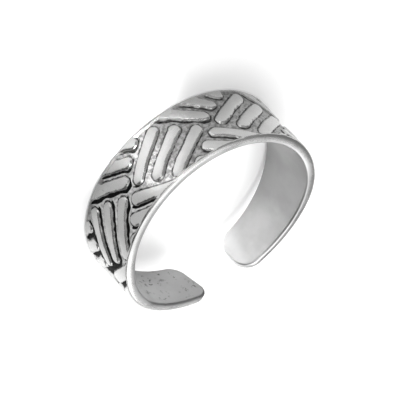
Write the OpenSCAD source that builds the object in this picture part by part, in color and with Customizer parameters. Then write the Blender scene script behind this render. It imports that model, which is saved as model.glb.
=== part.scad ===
// Open toe ring of cast silver. A flat band goes round the toe and leaves a
// gap at the back. The front carries a woven pattern of raised bars, the back
// is plain and grows narrower towards two rounded ends.
// Units mm. The axis of the toe is +Z and the ring lies flat on z = 0.
// The middle of the pattern faces -Y and the gap is at +Y.
// Angles round the axis start at -Y and grow towards +X.

/* [Band] */
// inside diameter, the size of the toe
inside_d = 15; // [13:0.5:19]
// thickness of the metal from the bore to the top of the bars
wall = 0.8; // [0.7:0.05:1.2]
// height of the band along the toe axis at the front
band_h = 5.5; // [5.3:0.1:6.5]
// radius on the outer corner of the rims
rim_round = 0.25; // [0.24:0.01:0.26]
// radius on the inner corner of the rims
bore_round = 0.12; // [0.05:0.01:0.2]

/* [Back] */
// distance behind the axis at which the band starts to narrow
taper_from = 0.6; // [0:0.1:2]
// slope of each rim as the band narrows
taper_slope = 0.142; // [0.1:0.002:0.16]
// angle at which the arm on the -X side ends
end_left = 168; // [160:1:172]
// angle at which the arm on the +X side ends
end_right = 166.8; // [160:0.2:172]
// corner radius of the end on the -X side
end_left_r = 1.45; // [0.8:0.05:1.6]
// corner radius of the end on the +X side
end_right_r = 1; // [0.6:0.05:1.6]
// slant of the end face on the +X side, in degrees
end_skew = 13; // [0:1:20]

/* [Pattern] */
// depth of the ground below the top of the bars
relief = 0.2; // [0.1:0.05:0.3]
// plain strip left along each rim
lip = 0.2; // [0.18:0.02:0.22]
// angle on each side at which the pattern stops
pattern_end = 104; // [90:1:110]
// width of a bar
bar_w = 0.95; // [0.85:0.01:1.05]

/* [Weave] */
// angle from one group of bars to the next
group_pitch = 54; // [53:0.5:55]
// angle at which the middle group starts
group_start = -4.3; // [-5.3:0.5:-3.3]
// angle from one rising bar to the next
rise_step = 8.8; // [8.4:0.1:9.2]
// height at which a group's first rising bar starts
rise_z = 0.15; // [0.05:0.05:0.25]
// how much lower each next rising bar starts
rise_drop = 1; // [0.96:0.01:1.04]
// angle a rising bar runs over
rise_run = 21.5; // [20.5:0.5:22.5]
// height a rising bar gains
rise_gain = 2; // [1.9:0.05:2.1]
// angle from a group's start to its first upper bar
upper_at = -7.2; // [-7.6:0.1:-6.8]
// angle from one upper bar to the next
upper_step = 8.5; // [8.2:0.1:8.8]
// height at which the first upper bar starts
upper_z = 1.05; // [1:0.05:1.15]
// how much higher each next upper bar starts
upper_lift = 0.84; // [0.8:0.01:0.88]
// height an upper bar gains for each degree
upper_slope = 0.1; // [0.09:0.005:0.11]
// angle from a group's start back to its first lower bar
lower_at = 7.8; // [7.4:0.1:8.2]
// angle from one lower bar to the next
lower_step = 8.4; // [8.1:0.1:8.7]
// depth below mid band at which the first lower bar starts
lower_z = 0.72; // [0.68:0.01:0.78]
// how much lower each next lower bar starts
lower_lift = 0.8; // [0.76:0.01:0.84]
// height a lower bar loses for each degree
lower_slope = 0.115; // [0.105:0.005:0.125]

/* [Hidden] */
$fn = 96;
r_in = inside_d / 2;
r_top = r_in + wall;
half_h = band_h / 2;
far = 30;
blend = 2.5;             // half the length over which a rim bends into the taper

// Every bar is a strip with round ends, given by the centres of its two ends:
// the angle round the band and the height from mid band, and by its width.
A1 = 0; Z1 = 1; A2 = 2; Z2 = 3; WIDTH = 4;
GROUPS = [-2:2];         // the groups round the front, 0 in the middle
run_out = half_h + 0.25; // where the falling bars end, beyond the rim

// the angle at which a group starts
function start(g) = group_start + g * group_pitch;
// whether a bar reaches the patterned part at all
function shows(b) = min(abs(b[A1]), abs(b[A2])) < pattern_end + 4;

// the three bars of each lozenge along the middle
RISING = [for (g = GROUPS, k = [0:2])
  let (a = start(g) + k * rise_step, z = rise_z - k * rise_drop,
       b = [a, z, a + rise_run, z + rise_gain, bar_w])
  if (shows(b)) b];
// the three bars that fill in above each lozenge, out to the upper rim
UPPER = [for (g = GROUPS, k = [0:2])
  let (a = start(g) + upper_at + k * upper_step, z = upper_z + k * upper_lift,
       b = [a, z, a - (run_out - z) / upper_slope, run_out, bar_w])
  if (shows(b)) b];
// the three bars that fill in below it, out to the lower rim
LOWER = [for (g = GROUPS, k = [0:2])
  let (a = start(g) - lower_at - k * lower_step, z = -lower_z - k * lower_lift,
       b = [a, z, a + (run_out + z) / lower_slope, -run_out, bar_w])
  if (shows(b)) b];

// x = angle round the band turned into a place: 0 faces -Y, + goes to +X
module at_angle(a) { rotate([0, 0, a]) children(); }

// cross section of the full band, with rounded corners
module band_section() {
  o = rim_round;
  i = bore_round;
  translate([r_in, i - half_h]) square([i, band_h - 2 * i]);
  translate([r_in + i, -half_h]) square([wall - i - o, band_h]);
  translate([r_top - o, o - half_h]) square([o, band_h - 2 * o]);
  for (s = [-1, 1]) {
    translate([r_in + i, s * (half_h - i)]) circle(r = i);
    translate([r_top - o, s * (half_h - o)]) circle(r = o);
  }
}

// side outline of the ring, straight at the front and narrowing at the back,
// as a solid running through the ring along X
module side_outline() {
  drop = taper_slope * (far - taper_from);
  mid = taper_slope * blend / 4;
  rotate([90, 0, 90])
    translate([0, 0, -far])
      linear_extrude(height = 2 * far)
        polygon([for (s = [-1, 1])
          each (s < 0
            ? [[-far, -half_h - 1], [taper_from - blend, -half_h - 0.001],
               [taper_from, -half_h + mid], [taper_from + blend, -half_h + 4 * mid],
               [far, -half_h + drop]]
            : [[far, half_h - drop], [taper_from + blend, half_h - 4 * mid],
               [taper_from, half_h - mid], [taper_from - blend, half_h + 0.001],
               [-far, half_h + 1]])]);
}

// outline of one arm, seen from outside: a long strip with a blunt round end,
// pushed through the wall; a = angle of the tip, r = corner radius, skew =
// how far the end face leans
module arm(a, r, skew) {
  tip = 1.9;             // half width of the end
  back = 1.6;            // from the tip to the point the end leans about
  at_angle(a)
    rotate([90, 0, 0]) translate([0, 0, 2])
      linear_extrude(height = 10) {
        translate([-far / 2, -half_h]) square([far / 2 - back, 2 * half_h]);
        translate([-back, 0]) rotate(-skew) {
          translate([-1.2, -tip]) square([1.2 + back - r, 2 * tip]);
          translate([-1.2, r - tip]) square([1.2 + back, 2 * (tip - r)]);
          for (s = [-1, 1]) translate([back - r, s * (tip - r)]) circle(r = r);
        }
      }
}

// everything the band is allowed to fill: the front half and the two arms
module reach() {
  translate([-far / 2, -far, -far / 2]) cube([far, far + 2, far]);
  arm(end_right, end_right_r, end_skew);
  mirror([1, 0, 0]) arm(end_left, end_left_r, 0);
}

// one bar of the weave, as an upright strip standing on the mid point
module bar(b) {
  am = (b[A1] + b[A2]) / 2;
  zm = (b[Z1] + b[Z2]) / 2;
  du = r_top * sin((b[A2] - b[A1]) / 2);
  dz = (b[Z2] - b[Z1]) / 2;
  len = sqrt(du * du + dz * dz);
  w = b[WIDTH];
  at_angle(am)
    translate([0, 0, zm])
      rotate([90, 0, 0])
        translate([0, 0, r_in + 0.25])
          rotate(atan2(dz, du)) {
            translate([-len, -w / 2, 0]) cube([2 * len, w, wall + 1]);
            for (s = [-1, 1])
              translate([s * len, 0, 0]) cylinder(d = w, h = wall + 1);
          }
}

// the sunk ground between the bars
module ground() {
  hg = half_h - lip;
  difference() {
    rotate([0, 0, -90 - pattern_end])
      rotate_extrude(angle = 2 * pattern_end)
        translate([r_top - relief, -hg]) square([relief + 0.5, 2 * hg]);
    for (b = RISING) bar(b);
    for (b = UPPER) bar(b);
    for (b = LOWER) bar(b);
  }
}

module ring() {
  color([0.72, 0.72, 0.71])
    translate([0, 0, half_h])
      difference() {
        intersection() {
          rotate_extrude() band_section();
          side_outline();
          reach();
        }
        ground();
      }
}

ring();
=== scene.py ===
import math

import bpy
import numpy as np
from mathutils import Matrix, Vector


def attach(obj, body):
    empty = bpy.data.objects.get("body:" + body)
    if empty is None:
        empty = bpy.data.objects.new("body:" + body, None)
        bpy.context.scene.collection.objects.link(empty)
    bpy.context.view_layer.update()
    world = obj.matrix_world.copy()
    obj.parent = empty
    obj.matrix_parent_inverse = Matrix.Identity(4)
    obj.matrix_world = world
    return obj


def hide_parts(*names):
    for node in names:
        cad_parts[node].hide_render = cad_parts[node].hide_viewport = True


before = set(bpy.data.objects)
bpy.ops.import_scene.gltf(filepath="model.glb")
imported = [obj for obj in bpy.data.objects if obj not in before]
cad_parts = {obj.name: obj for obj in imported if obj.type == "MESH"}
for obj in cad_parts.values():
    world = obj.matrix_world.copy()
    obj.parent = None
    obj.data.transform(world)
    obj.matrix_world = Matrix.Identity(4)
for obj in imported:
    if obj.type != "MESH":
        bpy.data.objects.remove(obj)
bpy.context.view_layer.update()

# ---------------------------------------------------------------- sizes, mm
R_IN = 7.5
WALL = 0.8
R_TOP = R_IN + WALL
HALF = 2.75            # half of the band's height at the front
RELIEF = 0.2
LIP = 0.22
PATTERN_END = 104.0
RIM_ROUND = 0.28
BORE_ROUND = 0.14
TAPER_FROM, TAPER_SLOPE, TAPER_BLEND = 0.6, 0.142, 2.5
TIP_HALF = 1.9
MM = math.radians(1) * R_TOP    # one degree round the outside, in mm

# each arm's end: angle of the tip, corner radius, lean of the end face
LEFT_END = dict(angle=168.0, corner=1.45, lean=0.0)
RIGHT_END = dict(angle=166.8, corner=1.0, lean=13.0)
LEAN_BACK = 1.6

# the bars of the weave follow a rule: groups of three, a pitch apart
GROUP_START, GROUP_PITCH = -4.3, 54.0
BAR_W = 0.95
RUN_OUT = HALF + 0.25
RISE = dict(step=8.8, z=0.15, drop=1.0, run=21.5, gain=2.0)
UPPER = dict(at=-7.2, step=8.5, z=1.05, lift=0.84, slope=0.100)
LOWER = dict(at=7.8, step=8.4, z=0.72, lift=0.80, slope=0.115)


def weave_bars():
    """Every bar as angle and height of both ends and its width."""
    rising, falling = [], []
    for g in range(-2, 3):
        start = GROUP_START + g * GROUP_PITCH
        for k in range(3):
            a, z = start + k * RISE["step"], RISE["z"] - k * RISE["drop"]
            rising.append((a, z, a + RISE["run"], z + RISE["gain"], BAR_W))
            a, z = start + UPPER["at"] + k * UPPER["step"], UPPER["z"] + k * UPPER["lift"]
            falling.append((a, z, a - (RUN_OUT - z) / UPPER["slope"], RUN_OUT, BAR_W))
            a, z = start - LOWER["at"] - k * LOWER["step"], -LOWER["z"] - k * LOWER["lift"]
            falling.append((a, z, a + (RUN_OUT + z) / LOWER["slope"], -RUN_OUT, BAR_W))
    near = [[b for b in bars if min(abs(b[0]), abs(b[2])) < PATTERN_END + 4]
            for bars in (rising, falling)]
    return near[0], near[1]


RISING, FALLING = weave_bars()


# ------------------------------------------------------------ shape of the band
def taper(theta, r):
    """Half the height of the band at that angle and radius."""
    y = -r * np.cos(np.radians(theta))
    a = TAPER_FROM - TAPER_BLEND
    b = TAPER_FROM + TAPER_BLEND
    bend = TAPER_SLOPE * (y - a) ** 2 / (4 * TAPER_BLEND)
    line = TAPER_SLOPE * (y - TAPER_FROM)
    return HALF - np.where(y < a, 0.0, np.where(y > b, line, bend))


def smooth_min(a, b, k):
    h = np.clip(0.5 + 0.5 * (b - a) / k, 0, 1)
    return b + (a - b) * h - k * h * (1 - h)


def ramp(x, lo, hi):
    t = np.clip((x - lo) / (hi - lo), 0, 1)
    return t * t * (3 - 2 * t)


def wave(u, z, seed, scale):
    """A smooth, fixed irregularity between about -1 and 1."""
    rng = np.random.RandomState(seed)
    out = np.zeros_like(u)
    for _ in range(7):
        a = rng.uniform(0, 2 * math.pi)
        f = rng.uniform(0.6, 1.6) / scale
        out = out + np.sin((u * math.cos(a) + z * math.sin(a)) * f * 2 * math.pi + rng.uniform(0, 6.28))
    return out / 3.2


def to_segment(u, z, bar):
    t1, z1, t2, z2, w = bar
    ax, az = t1 * MM, z1
    bx, bz = t2 * MM, z2
    dx, dz = bx - ax, bz - az
    k = np.clip(((u - ax) * dx + (z - az) * dz) / (dx * dx + dz * dz + 1e-9), 0, 1)
    return np.hypot(u - ax - k * dx, z - az - k * dz)


def weave(theta, z):
    """Signed distance in mm to the nearest bar's edge: positive on a bar,
    negative on the sunk ground. Also 1 where the nearest bar rises to the
    right and 0 where it falls."""
    u = theta * MM
    uw = u + 0.030 * wave(u, z, 3, 2.3) + 0.010 * wave(u, z, 4, 0.5)
    zw = z + 0.030 * wave(u, z, 5, 2.1) + 0.010 * wave(u, z, 6, 0.55)
    up = np.full(u.shape, -9.0)
    down = np.full(u.shape, -9.0)
    for bar in RISING:
        up = np.maximum(up, bar[4] / 2 - to_segment(uw, zw, bar))
    for bar in FALLING:
        down = np.maximum(down, bar[4] / 2 - to_segment(uw, zw, bar))
    end = (np.abs(theta) - PATTERN_END) * MM
    return np.maximum(np.maximum(up, down), end), (up > down).astype(float)


def shoulder(s, width):
    t = np.clip(s / width, 0, 1)
    return 1 - (1 - t) ** 2.2


def relief(theta, z):
    """How far the outside is sunk below the top radius, in mm, with what the
    finish needs to know: the dark corner at a bar's foot, the open ground,
    the mix of oxide and painted shade on the ground, and the far side, whose
    colours are painted darker as shade."""
    edge, rising = weave(theta, z)
    u = theta * MM
    front = (np.abs(theta) < PATTERN_END + 3).astype(float)
    up = shoulder(edge + 0.03, 0.19)
    rim = ramp(np.abs(z) + 0.02 * wave(u, z, 8, 1.2), HALF - 0.40, HALF - 0.10)
    crown = 0.062 * (1 - np.clip(np.maximum(edge, 0) / 0.46, 0, 1)) ** 2
    crown = crown * (1 - ramp(np.abs(z), HALF - 0.5, HALF - 0.2)) * (np.abs(theta) < PATTERN_END)
    groove = 0.030 * np.exp(-((edge + 0.05) / 0.055) ** 2)
    grain = 0.012 * wave(u, z, 11, 0.40) + 0.008 * wave(u, z, 12, 0.17)
    top = np.maximum(up, rim)
    sunk = (RELIEF + grain) * (1 - top) + crown * up + groove * (1 - top)
    dents = 0.006 * (1 + wave(u, z, 21, 1.1)) + 0.003 * (1 + wave(u, z, 22, 0.35))
    sunk = np.clip(sunk + dents * up, 0.0, 0.3) * front
    # the foot line is uneven, and fades out on the rim
    uneven = 1 + 0.35 * wave(u, z, 14, 0.6)
    foot = np.exp(-((edge + 0.045) / (0.062 * uneven)) ** 2) * (1 - rim) * front
    ground = ramp(-edge, 0.0, 0.09) * (1 - rim) * front
    # oxide on the ground above a bar, with painted shade added there for the dark reflection it shows, most of
    # all on the +X side
    lean = (weave(theta, z - 0.10)[0] - weave(theta, z + 0.10)[0]) / 0.2
    above = ramp(lean, -0.25, 0.45) * ramp(edge, -0.42, -0.24)
    # painted shade: from about 31 to 43 degrees round onwards, the ground, foot line and oxide are painted darker
    far_side_shade = ramp(theta, 31.0, 43.0)
    some = np.where(rising > 0.5, 0.12, 0.55 * ramp(theta, -30.0, -14.0))
    oxide_and_shade = above * (some + (1 - some) * far_side_shade) * ground
    # painted shade: between 76 and 84 degrees round, the open ground is painted fully dark
    last = ramp(theta, 76.0, 84.0) * ramp(-edge, 0.04, 0.14) * ground
    oxide_and_shade = np.maximum(oxide_and_shade, last)
    return sunk, foot, ground, oxide_and_shade, far_side_shade * front


# ------------------------------------------------------------------- the mesh
def arm_columns(end, start, count, base_pitch):
    """Angles from start out to the arm's tip, closer together near the tip."""
    rc = end["corner"]
    arc = [rc * (1 - math.cos(math.radians(90 * i / 26))) for i in range(26)]
    stop = end["angle"] - rc / MM
    body = np.linspace(start, stop, count, endpoint=False)
    tip = [end["angle"] - x / MM for x in reversed(arc)]
    return list(body) + [stop] + tip


def build_columns(pitch_front, n_shank):
    front = PATTERN_END + 1.5
    n = int(2 * front * MM / pitch_front)
    mid = np.linspace(-front, front, n)
    right = arm_columns(RIGHT_END, front, n_shank, None)[1:]
    left = [-a for a in arm_columns(LEFT_END, front, n_shank, None)[1:]][::-1]
    return np.array(list(left) + list(mid) + list(right))


def rows(n_mid, steps):
    """Rows across the band as (fraction of the inner half height, depth from
    the rim): the middle is even, the rim's rounding gets rows of its own."""
    mid = [(s, RIM_ROUND) for s in np.linspace(-1, 1, n_mid)]
    rim = [(1.0, RIM_ROUND * (1 - math.sin(math.radians(90 * (i + 1) / steps)))) for i in range(steps)]
    low = [(-1.0, d) for _, d in reversed(rim)]
    return low + mid + rim


def place(cols, rws, outer):
    """Vertices of one sheet of the band, as an array columns x rows x 3."""
    theta = np.repeat(cols[:, None], len(rws), 1)
    frac = np.repeat(np.array([[f for f, _ in rws]]), len(cols), 0)
    depth = np.repeat(np.array([[d for _, d in rws]]), len(cols), 0)
    radius = R_TOP if outer else R_IN
    half = taper(theta, radius)
    full = half.copy()
    dist_x = np.full(theta.shape, 99.0)
    corner = np.full(theta.shape, 1.0)
    for end, side in ((LEFT_END, -1), (RIGHT_END, 1)):
        on = theta * side > 120
        x = (end["angle"] - theta * side) * MM
        rc = end["corner"]
        tip_h = np.where(x < 2.0, np.minimum(full, TIP_HALF), full)
        q = np.clip(rc - x, 0, rc)
        bent = tip_h - rc + np.sqrt(np.clip(rc * rc - q * q, 0, None))
        half = np.where(on, np.minimum(half, bent), half)
        dist_x = np.where(on, x, dist_x)
        corner = np.where(on, rc, corner)
    inner_half = np.maximum(half - RIM_ROUND, half * 0.12)
    z = np.where(depth < RIM_ROUND - 1e-9,
                 np.sign(frac) * (inner_half + (half - inner_half) * (1 - depth / RIM_ROUND)),
                 frac * inner_half)
    # distance to the outline: a box with round corners near the ends
    tip_h = np.where(dist_x < 2.0, np.minimum(full, TIP_HALF), full)
    qx = corner - dist_x
    qz = np.abs(z) - (tip_h - corner)
    sdf = np.hypot(np.maximum(qx, 0), np.maximum(qz, 0)) + np.minimum(np.maximum(qx, qz), 0) - corner
    d = np.clip(-sdf, 0, None)
    # the end face on the right leans
    lean = math.tan(math.radians(RIGHT_END["lean"]))
    k = ramp((theta - (RIGHT_END["angle"] - (LEAN_BACK + 1.6) / MM)) * MM, 0, LEAN_BACK + 1.2)
    theta2 = theta + np.where(theta > 120, z * lean * k / MM, 0)
    rho = RIM_ROUND if outer else BORE_ROUND
    q = np.clip(rho - d, 0, rho)
    curve = rho - np.sqrt(np.clip(rho * rho - q * q, 0, None))
    zero = np.zeros_like(theta)
    if outer:
        sunk, foot, ground, oxide_and_shade, far_side_shade = relief(theta2, z)
        r = R_TOP - np.maximum(curve, sunk + curve * 0.3)
    else:
        foot, ground, oxide_and_shade, far_side_shade = zero, zero, zero, zero
        u = theta2 * MM
        r = R_IN + curve + 0.004 * (1 + wave(u, z, 31, 3.0))
    a = np.radians(theta2)
    pts = np.stack([r * np.sin(a), -r * np.cos(a), z + HALF], -1)
    info = dict(theta=theta2, z=z, foot=foot, ground=ground, oxide_and_shade=oxide_and_shade, far=far_side_shade, d=d)
    return pts, info


def boundary(nc, nr):
    """Index pairs round a sheet's edge, in order."""
    loop = [(i, 0) for i in range(nc)]
    loop += [(nc - 1, j) for j in range(1, nr)]
    loop += [(i, nr - 1) for i in range(nc - 2, -1, -1)]
    loop += [(0, j) for j in range(nr - 2, 0, -1)]
    return loop


def along(loop, pts, corners):
    """A value 0..4 along a sheet's edge loop, one unit for each side."""
    p = np.array([pts[i, j] for i, j in loop])
    step = np.linalg.norm(np.diff(np.vstack([p, p[:1]]), axis=0), axis=1)
    run = np.concatenate([[0], np.cumsum(step)])
    out = np.zeros(len(loop))
    marks = list(corners) + [len(loop)]
    for s in range(4):
        a, b = marks[s], marks[s + 1]
        out[a:b] = s + (run[a:b] - run[a]) / (run[b] - run[a])
    return out


def zip_loops(a, ta, b, tb):
    """Triangles between two closed loops of vertex numbers with positions ta, tb."""
    faces = []
    i = j = 0
    na, nb = len(a), len(b)
    while i < na or j < nb:
        next_a = ta[i + 1] if i + 1 < na else 4.0
        next_b = tb[j + 1] if j + 1 < nb else 4.0
        if j >= nb or (i < na and next_a <= next_b):
            faces.append((a[i % na], a[(i + 1) % na], b[j % nb]))
            i += 1
        else:
            faces.append((a[i % na], b[(j + 1) % nb], b[j % nb]))
            j += 1
    return faces


def sheet_faces(nc, nr, start, flip):
    i = np.arange(nc - 1)[:, None] * nr + np.arange(nr - 1)[None, :] + start
    quad = np.stack([i, i + nr, i + nr + 1, i + 1], -1).reshape(-1, 4)
    return quad[:, ::-1] if flip else quad


def build_ring():
    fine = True
    cols = build_columns(0.058 if fine else 0.09, 90 if fine else 60)
    rws = rows(104 if fine else 60, 6)
    out_pts, out_info = place(cols, rws, True)
    in_cols = build_columns(0.22, 46)
    in_rws = rows(20, 5)
    in_pts, in_info = place(in_cols, in_rws, False)
    nc, nr = len(cols), len(rws)
    mc, mr = len(in_cols), len(in_rws)
    verts = np.concatenate([out_pts.reshape(-1, 3), in_pts.reshape(-1, 3)])
    start = nc * nr
    quads = np.concatenate([sheet_faces(nc, nr, 0, False), sheet_faces(mc, mr, start, True)])
    lo, li = boundary(nc, nr), boundary(mc, mr)
    a = [i * nr + j for i, j in lo]
    b = [start + i * mr + j for i, j in li]
    ta = along(lo, out_pts, (0, nc - 1, nc + nr - 2, 2 * nc + nr - 3))
    tb = along(li, in_pts, (0, mc - 1, mc + mr - 2, 2 * mc + mr - 3))
    tris = zip_loops(a, ta, b, tb)
    mesh = bpy.data.meshes.new("ring_silver")
    mesh.from_pydata((verts * 0.001).tolist(), [], quads.tolist() + [tuple(reversed(t)) for t in tris])
    mesh.validate()
    mesh.shade_smooth()

    def both(key):
        return np.concatenate([out_info[key].ravel(), in_info[key].ravel()])

    for name, key in (("foot", "foot"), ("ground", "ground"), ("oxide_and_shade", "oxide_and_shade"), ("far_side_shade", "far"), ("around", "theta")):
        att = mesh.attributes.new(name, "FLOAT", "POINT")
        att.data.foreach_set("value", both(key).astype(np.float32))
    side = np.concatenate([np.ones(nc * nr), np.zeros(mc * mr)])
    att = mesh.attributes.new("outside", "FLOAT", "POINT")
    att.data.foreach_set("value", side.astype(np.float32))
    obj = bpy.data.objects.new("ring_silver", mesh)
    bpy.context.scene.collection.objects.link(obj)
    print("ring triangles", sum(len(p.vertices) - 2 for p in mesh.polygons))
    return obj


ring = build_ring()
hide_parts("ring")
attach(ring, "root")


# ---------------------------------------------------------------- materials
class Nodes:
    """Short helper to write node trees."""

    def __init__(self, tree):
        self.t = tree
        tree.nodes.clear()

    def new(self, kind, **props):
        n = self.t.nodes.new(kind)
        for k, v in props.items():
            if k in n.inputs.keys() if isinstance(k, str) and k[0].isupper() else False:
                n.inputs[k].default_value = v
            else:
                setattr(n, k, v)
        return n

    def put(self, node, socket, value):
        s = node.inputs[socket]
        if hasattr(value, "is_output"):
            self.t.links.new(value, s)
        else:
            s.default_value = value

    def math(self, op, a, b=None, clamp=False):
        n = self.t.nodes.new("ShaderNodeMath")
        n.operation = op
        n.use_clamp = clamp
        self.put(n, 0, a)
        if b is not None:
            self.put(n, 1, b)
        return n.outputs[0]

    def mix(self, fac, a, b):
        n = self.t.nodes.new("ShaderNodeMix")
        n.data_type = "FLOAT"
        self.put(n, 0, fac)
        self.put(n, 2, a)
        self.put(n, 3, b)
        return n.outputs[0]

    def colour(self, fac, a, b):
        n = self.t.nodes.new("ShaderNodeMix")
        n.data_type = "RGBA"
        self.put(n, 0, fac)
        self.put(n, 6, a)
        self.put(n, 7, b)
        return n.outputs[2]

    def map(self, value, lo, hi, to_lo=0.0, to_hi=1.0):
        n = self.t.nodes.new("ShaderNodeMapRange")
        n.interpolation_type = "SMOOTHSTEP"
        self.put(n, 0, value)
        for i, v in enumerate((lo, hi, to_lo, to_hi)):
            n.inputs[i + 1].default_value = v
        return n.outputs[0]

    def noise(self, coord, scale, detail=3.0, rough=0.5):
        n = self.t.nodes.new("ShaderNodeTexNoise")
        self.put(n, "Vector", coord)
        n.inputs["Scale"].default_value = scale
        n.inputs["Detail"].default_value = detail
        n.inputs["Roughness"].default_value = rough
        return n.outputs["Fac"]

    def attr(self, name):
        n = self.t.nodes.new("ShaderNodeAttribute")
        n.attribute_type = "GEOMETRY"
        n.attribute_name = name
        return n.outputs["Fac"]

    def stretch(self, coord, scale, rot=(0, 0, 0)):
        n = self.t.nodes.new("ShaderNodeMapping")
        self.put(n, "Vector", coord)
        n.inputs["Scale"].default_value = scale
        n.inputs["Rotation"].default_value = rot
        return n.outputs[0]


def silver():
    m = bpy.data.materials.new("oxidised_silver")
    m.use_nodes = True
    n = Nodes(m.node_tree)
    out = n.new("ShaderNodeOutputMaterial")
    bsdf = n.new("ShaderNodeBsdfPrincipled")
    m.node_tree.links.new(bsdf.outputs[0], out.inputs[0])
    tc = n.new("ShaderNodeTexCoord")
    pos = tc.outputs["Object"]
    foot, ground, oxide_and_shade = n.attr("foot"), n.attr("ground"), n.attr("oxide_and_shade")
    outside, around, far_side_shade = n.attr("outside"), n.attr("around"), n.attr("far_side_shade")
    inside = n.math("SUBTRACT", 1.0, outside)

    cloud = n.noise(pos, 420.0, 4.0, 0.55)
    fine = n.noise(pos, 5200.0, 3.0, 0.6)
    grain = n.noise(pos, 3400.0, 3.0, 0.65)
    scr_a = n.noise(n.stretch(pos, (1.0, 1.0, 14.0), (0.2, 0.5, 0.3)), 1500.0, 2.0, 0.5)
    scr_b = n.noise(n.stretch(pos, (1.0, 9.0, 1.0), (0.9, 0.3, 0.8)), 1700.0, 2.0, 0.5)

    # polished metal, a little cloudy
    metal = n.colour(n.map(cloud, 0.3, 0.7), (0.41, 0.41, 0.406, 1), (0.48, 0.48, 0.476, 1))
    # painted shade: the metal is painted darker between about 32 and 74 degrees round, standing in for the darker
    # reflection there
    shade_turn = n.math("MULTIPLY", n.map(around, 32.0, 40.0), n.map(around, 62.0, 74.0, 1.0, 0.0))
    metal = n.colour(n.math("MULTIPLY", shade_turn, 0.50), metal, (0.22, 0.22, 0.218, 1))
    # painted light: from about 78 degrees round the metal is painted lighter, standing in for the brighter
    # reflection on that side
    metal = n.colour(n.math("MULTIPLY", n.map(around, 78.0, 96.0), 0.7), metal, (0.78, 0.78, 0.775, 1))
    # painted reflection: the grainy ground is painted lighter between about 13 and 42 degrees round and darker
    # elsewhere, standing in for the light and dark it reflects; the grain varies it at random
    lit_ground = n.colour(n.map(grain, 0.36, 0.62), (0.26, 0.26, 0.258, 1), (0.66, 0.66, 0.655, 1))
    far_ground_shade = n.colour(n.map(grain, 0.36, 0.62), (0.26, 0.26, 0.258, 1), (0.48, 0.48, 0.477, 1))
    front_lit_band = n.math("MULTIPLY", n.map(around, 13.0, 21.0), n.map(around, 30.0, 42.0, 1.0, 0.0))
    shaded_ground = n.colour(n.map(grain, 0.36, 0.62), (0.16, 0.16, 0.158, 1), (0.34, 0.34, 0.337, 1))
    ground_c = n.colour(far_side_shade, n.colour(front_lit_band, shaded_ground, lit_ground), far_ground_shade)
    c = n.colour(ground, metal, ground_c)
    # the dark oxide line at a bar's foot, painted darker on the far side as shade, and beside it the black mix of
    # oxide and painted shade
    foot_oxide_and_shade = n.colour(far_side_shade, (0.060, 0.059, 0.058, 1), (0.012, 0.012, 0.012, 1))
    broken = n.map(n.noise(pos, 1500.0, 2.0, 0.6), 0.30, 0.52, 0.55, 1.0)
    foot_n = n.math("MULTIPLY", foot, broken, clamp=True)
    c = n.colour(n.map(foot_n, 0.25, 0.85), c, foot_oxide_and_shade)
    oxide_and_shade_n = n.map(n.math("ADD", oxide_and_shade, n.math("MULTIPLY", n.math("SUBTRACT", grain, 0.5), 0.5)), 0.30, 0.62)
    c = n.colour(oxide_and_shade_n, c, (0.006, 0.006, 0.006, 1))
    # inner wall: a satin grey with pits, more of them towards the +X end
    pit_a = n.noise(pos, 2300.0, 4.0, 0.72)
    pit_b = n.noise(pos, 520.0, 4.0, 0.72)
    end_zone = n.map(around, 114.0, 126.0)
    few = n.map(pit_b, 0.715, 0.745)
    cluster = n.map(n.noise(pos, 700.0, 2.0, 0.5), 0.42, 0.60)
    many = n.math("MULTIPLY", n.math("MULTIPLY", n.map(pit_a, 0.56, 0.62), cluster), end_zone)
    pits = n.math("MAXIMUM", few, many)
    # painted reflection: the wall's grey is painted darkest half way along the -X arm and lightest at its end,
    # standing in for the lit floor inside the ring that it reflects
    gradient_wobble = n.noise(n.stretch(pos, (1.0, 1.0, 0.6)), 300.0, 4.0, 0.55)
    drift = n.math("MULTIPLY", n.math("SUBTRACT", gradient_wobble, 0.5), 40.0)
    along = n.math("ADD", around, drift)
    level = n.map(along, -100.0, -72.0, 0.30, 0.48)
    level = n.math("ADD", level, n.map(along, -122.0, -148.0, 0.0, 0.16))
    level = n.math("ADD", level, n.map(along, -146.0, -166.0, 0.0, 0.22))
    level = n.mix(end_zone, level, 0.30)
    level = n.math("MULTIPLY", level, n.map(cloud, 0.3, 0.7, 0.92, 1.08))
    comb = n.new("ShaderNodeCombineXYZ")
    for i in range(3):
        n.put(comb, i, level)
    wall_grey_and_reflection = comb.outputs[0]
    inner = n.colour(pits, wall_grey_and_reflection, (0.06, 0.06, 0.06, 1))
    c = n.colour(inside, c, inner)
    m.node_tree.links.new(c, bsdf.inputs["Base Color"])
    bsdf.inputs["Metallic"].default_value = 1.0

    rough = n.mix(n.map(cloud, 0.3, 0.7), 0.20, 0.28)
    rough = n.mix(ground, rough, 0.42)
    rough = n.mix(n.map(foot_n, 0.3, 0.9), rough, 0.60)
    rough = n.mix(oxide_and_shade_n, rough, 0.70)
    rough = n.mix(inside, rough, n.mix(n.map(cloud, 0.3, 0.7), 0.28, 0.36))
    m.node_tree.links.new(rough, bsdf.inputs["Roughness"])

    scratch = n.math("ADD", n.map(scr_a, 0.55, 0.75), n.map(scr_b, 0.58, 0.78))
    h = n.math("ADD", n.math("MULTIPLY", scratch, -0.25), n.math("MULTIPLY", fine, 0.5))
    h = n.math("ADD", h, n.math("MULTIPLY", n.math("MULTIPLY", ground, grain), 5.0))
    h = n.math("ADD", h, n.math("MULTIPLY", n.math("MULTIPLY", pits, inside), -2.0))
    bump = n.new("ShaderNodeBump")
    bump.inputs["Strength"].default_value = 0.35
    bump.inputs["Distance"].default_value = 0.00001
    m.node_tree.links.new(h, bump.inputs["Height"])
    m.node_tree.links.new(bump.outputs[0], bsdf.inputs["Normal"])
    return m


ring.data.materials.append(silver())


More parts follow.
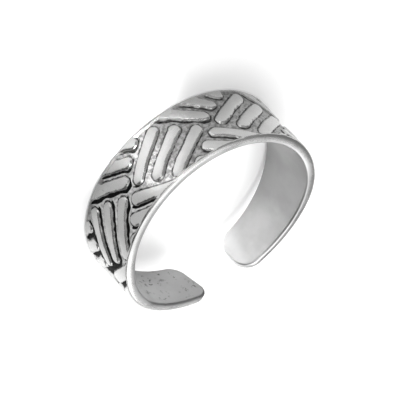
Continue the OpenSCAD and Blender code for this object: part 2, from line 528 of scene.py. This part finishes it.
# -------------------------------------------------------------- floor and light
def make_floor():
    mesh = bpy.data.meshes.new("floor")
    s = 3.0
    mesh.from_pydata([(-s, -s, 0), (s, -s, 0), (s, s, 0), (-s, s, 0)], [], [(0, 1, 2, 3)])
    obj = bpy.data.objects.new("floor", mesh)
    bpy.context.scene.collection.objects.link(obj)
    m = bpy.data.materials.new("pale_floor")
    m.use_nodes = True
    b = m.node_tree.nodes["Principled BSDF"]
    b.inputs["Base Color"].default_value = (0.93, 0.93, 0.93, 1)
    b.inputs["Roughness"].default_value = 0.9
    b.inputs["Specular IOR Level"].default_value = 0.1
    b.inputs["Emission Color"].default_value = (1, 1, 1, 1)
    b.inputs["Emission Strength"].default_value = 0.12
    mesh.materials.append(m)
    return obj


make_floor()


def area_light(name, direction, distance, width, height, radiance, colour=(1, 1, 1)):
    """A soft box that looks at the ring; radiance is its brightness."""
    light = bpy.data.lights.new(name, "AREA")
    light.shape = "RECTANGLE"
    light.size = width
    light.size_y = height
    light.energy = radiance * math.pi * width * height
    light.color = colour
    obj = bpy.data.objects.new(name, light)
    d = Vector(direction).normalized()
    obj.location = Vector((0, 0, 0.003)) + d * distance
    obj.rotation_euler = d.to_track_quat("Z", "Y").to_euler()
    bpy.context.scene.collection.objects.link(obj)
    return obj


def direction(az, el):
    """Azimuth 0 is towards -Y (the camera's side), 90 towards +X."""
    a, e = math.radians(az), math.radians(el)
    return (math.sin(a) * math.cos(e), -math.cos(a) * math.cos(e), math.sin(e))


def spot_light(name, source, target, radius, strength):
    """A soft-edged pool of light on the floor; source and target in mm."""
    light = bpy.data.lights.new(name, "SPOT")
    src, tgt = Vector(source) * 0.001, Vector(target) * 0.001
    away = (src - tgt).length
    light.spot_size = 2 * math.atan(radius * 0.001 / away)
    light.spot_blend = 1.0
    light.shadow_soft_size = 0.004
    light.energy = strength * 4 * math.pi * math.pi * away * away
    obj = bpy.data.objects.new(name, light)
    obj.location = src
    obj.rotation_euler = (src - tgt).to_track_quat("Z", "Y").to_euler()
    bpy.context.scene.collection.objects.link(obj)
    return obj


area_light("front", direction(20, 12), 0.5, 0.20, 0.20, 2.4)
area_light("back_top", direction(158, 50), 0.6, 0.75, 0.65, 2.2)
area_light("over", direction(20, 80), 0.6, 0.7, 0.7, 1.0)
spot_light("pool_front", (35, -110, 160), (4.0, -10.2, 0), 3.0, 5.8)
spot_light("pool_front_2", (40, -110, 160), (5.5, -12.6, 0), 2.8, 4.8)
spot_light("pool_inside", (0, -10, 200), (-1.9, 3.6, 0), 3.0, 0.9)


def make_world():
    """Soft even surroundings, a little darker to the right and left."""
    world = bpy.data.worlds.new("studio")
    world.use_nodes = True
    n = Nodes(world.node_tree)
    out = n.new("ShaderNodeOutputWorld")
    bg = n.new("ShaderNodeBackground")
    world.node_tree.links.new(bg.outputs[0], out.inputs[0])
    tc = n.new("ShaderNodeTexCoord")
    level = 0.71
    for az, el, inner, outer, add in ((105, 35, 15, 55, -0.45), (-110, 25, 10, 50, -0.25)):
        dot = n.new("ShaderNodeVectorMath")
        dot.operation = "DOT_PRODUCT"
        world.node_tree.links.new(tc.outputs["Generated"], dot.inputs[0])
        dot.inputs[1].default_value = direction(az, el)
        blob = n.map(dot.outputs["Value"], math.cos(math.radians(outer)), math.cos(math.radians(inner)), 0.0, add)
        level = n.math("ADD", blob, level)
    world.node_tree.links.new(level, bg.inputs["Strength"])
    bpy.context.scene.world = world


make_world()

# ---------------------------------------------------------------------- camera
AZ, EL, ROLL = 20.473, 34.543, 136.742
PX_PER_MM, CX, CY = 13.8998, 200.902, 204.284
LENS, SENSOR = 600.0, 36.0


def make_camera():
    a, e = math.radians(AZ), math.radians(EL)
    back = Vector((math.sin(a) * math.cos(e), -math.cos(a) * math.cos(e), math.sin(e)))
    right0 = (-back).cross(Vector((0, 0, 1))).normalized()
    up0 = right0.cross(-back)
    r = math.radians(ROLL)
    right = math.cos(r) * right0 + math.sin(r) * up0
    up = -math.sin(r) * right0 + math.cos(r) * up0
    dist = (400.0 / PX_PER_MM) * LENS / SENSOR
    aim = Vector((0, 0, HALF)) + right * ((200 - CX) / PX_PER_MM) + up * ((CY - 200) / PX_PER_MM)
    eye = (aim + back * dist) * 0.001
    cam = bpy.data.cameras.new("camera")
    cam.lens = LENS
    cam.sensor_width = SENSOR
    cam.clip_start = 0.01
    cam.clip_end = 10
    obj = bpy.data.objects.new("camera", cam)
    rot = Matrix((right, up, back)).transposed().to_4x4()
    obj.matrix_world = Matrix.Translation(eye) @ rot
    bpy.context.scene.collection.objects.link(obj)
    bpy.context.scene.camera = obj


make_camera()
scene = bpy.context.scene
scene.view_settings.view_transform = "Standard"
scene.view_settings.look = "None"
scene.view_settings.exposure = 0.0
scene.view_settings.gamma = 1.0
